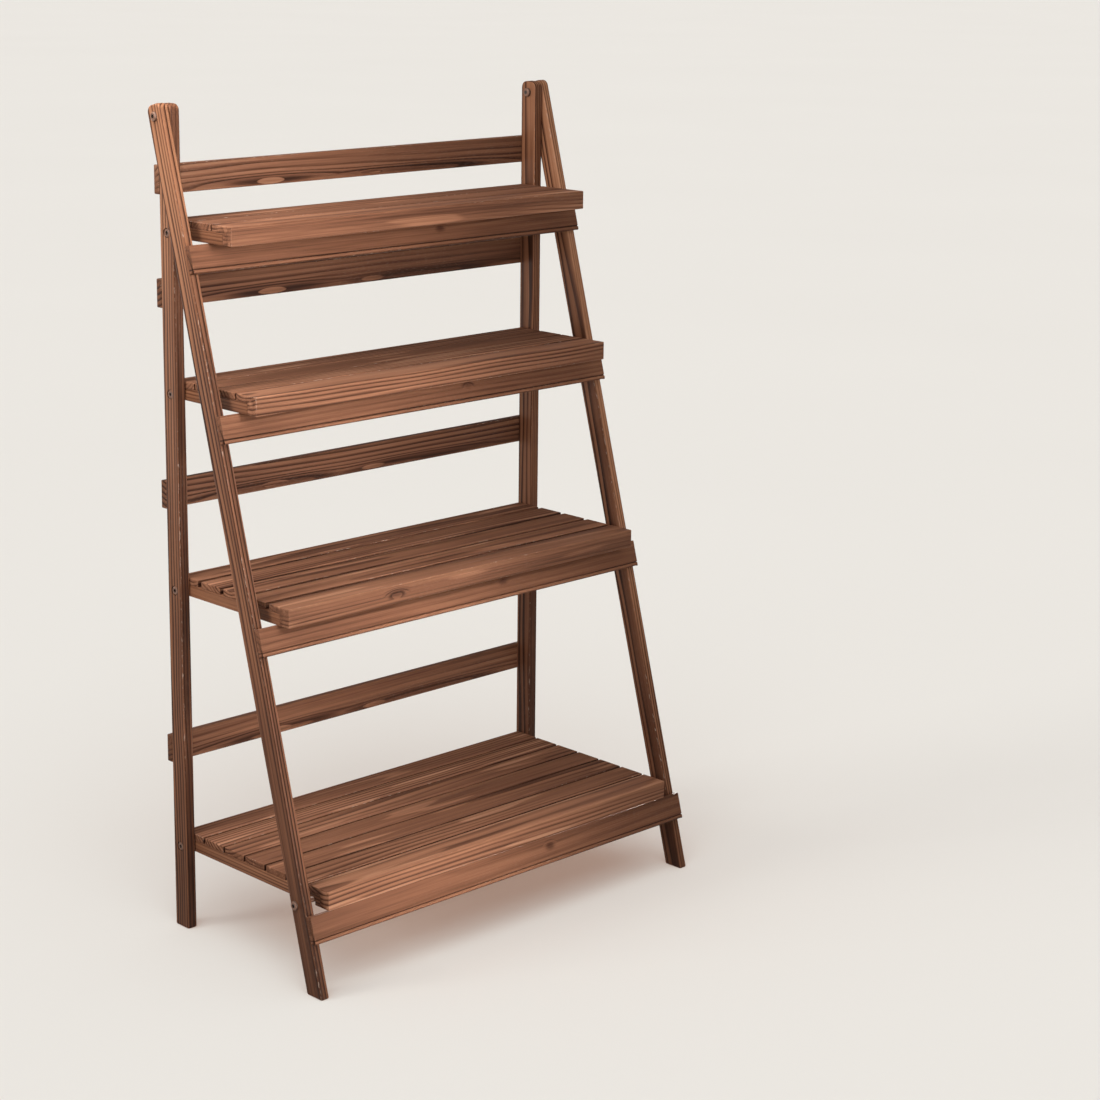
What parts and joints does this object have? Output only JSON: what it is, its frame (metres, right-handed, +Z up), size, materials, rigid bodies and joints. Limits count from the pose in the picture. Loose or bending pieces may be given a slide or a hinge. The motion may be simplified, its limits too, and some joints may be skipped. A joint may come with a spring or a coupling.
{
  "type": "folding plant ladder stand",
  "caption": "Folding wooden plant ladder stand: upright rear frame, leaning front frame and slatted shelves that grow deeper towards the floor and lift to fold.",
  "frame": {"origin": "on the floor, under the middle of the stand's outline", "axes": "+Z up; -Y is the front, where the low deep shelves reach; +X to the right seen from the front"},
  "size_m": [0.606, 0.2972, 0.975],
  "materials": {
    "stained_uprights": "satin brown stain on softwood",
    "stained_rails": "satin brown stain on softwood",
    "stained_boards": "satin brown stain on softwood",
    "bronze_steel": "dark bronze"
  },
  "bodies": {
    "rear_frame": {"rear_post_left": "stained_uprights", "rear_post_right": "stained_uprights", "rear_rail_1": "stained_rails", "rear_rail_2": "stained_rails", "rear_rail_3": "stained_rails", "rear_rail_4": "stained_rails", "shelf_pivot_bolts": "bronze_steel", "shelf_pivot_nuts": "bronze_steel"},
    "front_frame": {"front_leg_left": "stained_uprights", "front_leg_right": "stained_uprights", "front_rail_1": "stained_rails", "front_rail_2": "stained_rails", "front_rail_3": "stained_rails", "front_rail_4": "stained_rails", "top_pivot_bolts": "bronze_steel", "top_pivot_nuts": "bronze_steel", "catch_bolts": "bronze_steel"},
    "shelf_1": {"shelf_1_bearer_left": "stained_uprights", "shelf_1_bearer_right": "stained_uprights", "shelf_1_slat_1": "stained_boards", "shelf_1_slat_2": "stained_boards", "shelf_1_front_board": "stained_boards"},
    "shelf_2": {"shelf_2_bearer_left": "stained_uprights", "shelf_2_bearer_right": "stained_uprights", "shelf_2_slat_1": "stained_boards", "shelf_2_slat_2": "stained_boards", "shelf_2_slat_3": "stained_boards", "shelf_2_front_board": "stained_boards"},
    "shelf_3": {"shelf_3_bearer_left": "stained_uprights", "shelf_3_bearer_right": "stained_uprights", "shelf_3_slat_1": "stained_boards", "shelf_3_slat_2": "stained_boards", "shelf_3_slat_3": "stained_boards", "shelf_3_slat_4": "stained_boards", "shelf_3_front_board": "stained_boards"},
    "shelf_4": {"shelf_4_bearer_left": "stained_uprights", "shelf_4_bearer_right": "stained_uprights", "shelf_4_slat_1": "stained_boards", "shelf_4_slat_2": "stained_boards", "shelf_4_slat_3": "stained_boards", "shelf_4_slat_4": "stained_boards", "shelf_4_slat_5": "stained_boards", "shelf_4_slat_6": "stained_boards", "shelf_4_front_board": "stained_boards"}
  },
  "joints": [
    {"name": "front_frame_fold", "type": "hinge", "parent": "rear_frame", "child": "front_frame", "pos_m": [0, 0.12711, 0.9605], "axis": [1, 0, 0], "range_deg": [0, 14]},
    {"name": "shelf_1_lift", "type": "hinge", "parent": "rear_frame", "child": "shelf_1", "pos_m": [0, 0.12711, 0.83], "axis": [-1, 0, 0], "range_deg": [0, 86]},
    {"name": "shelf_2_lift", "type": "hinge", "parent": "rear_frame", "child": "shelf_2", "pos_m": [0, 0.12711, 0.646], "axis": [-1, 0, 0], "range_deg": [0, 88]},
    {"name": "shelf_3_lift", "type": "hinge", "parent": "rear_frame", "child": "shelf_3", "pos_m": [0, 0.12711, 0.415], "axis": [-1, 0, 0], "range_deg": [0, 88]},
    {"name": "shelf_4_lift", "type": "hinge", "parent": "rear_frame", "child": "shelf_4", "pos_m": [0, 0.12711, 0.1015], "axis": [-1, 0, 0], "range_deg": [0, 88]}
  ]
}
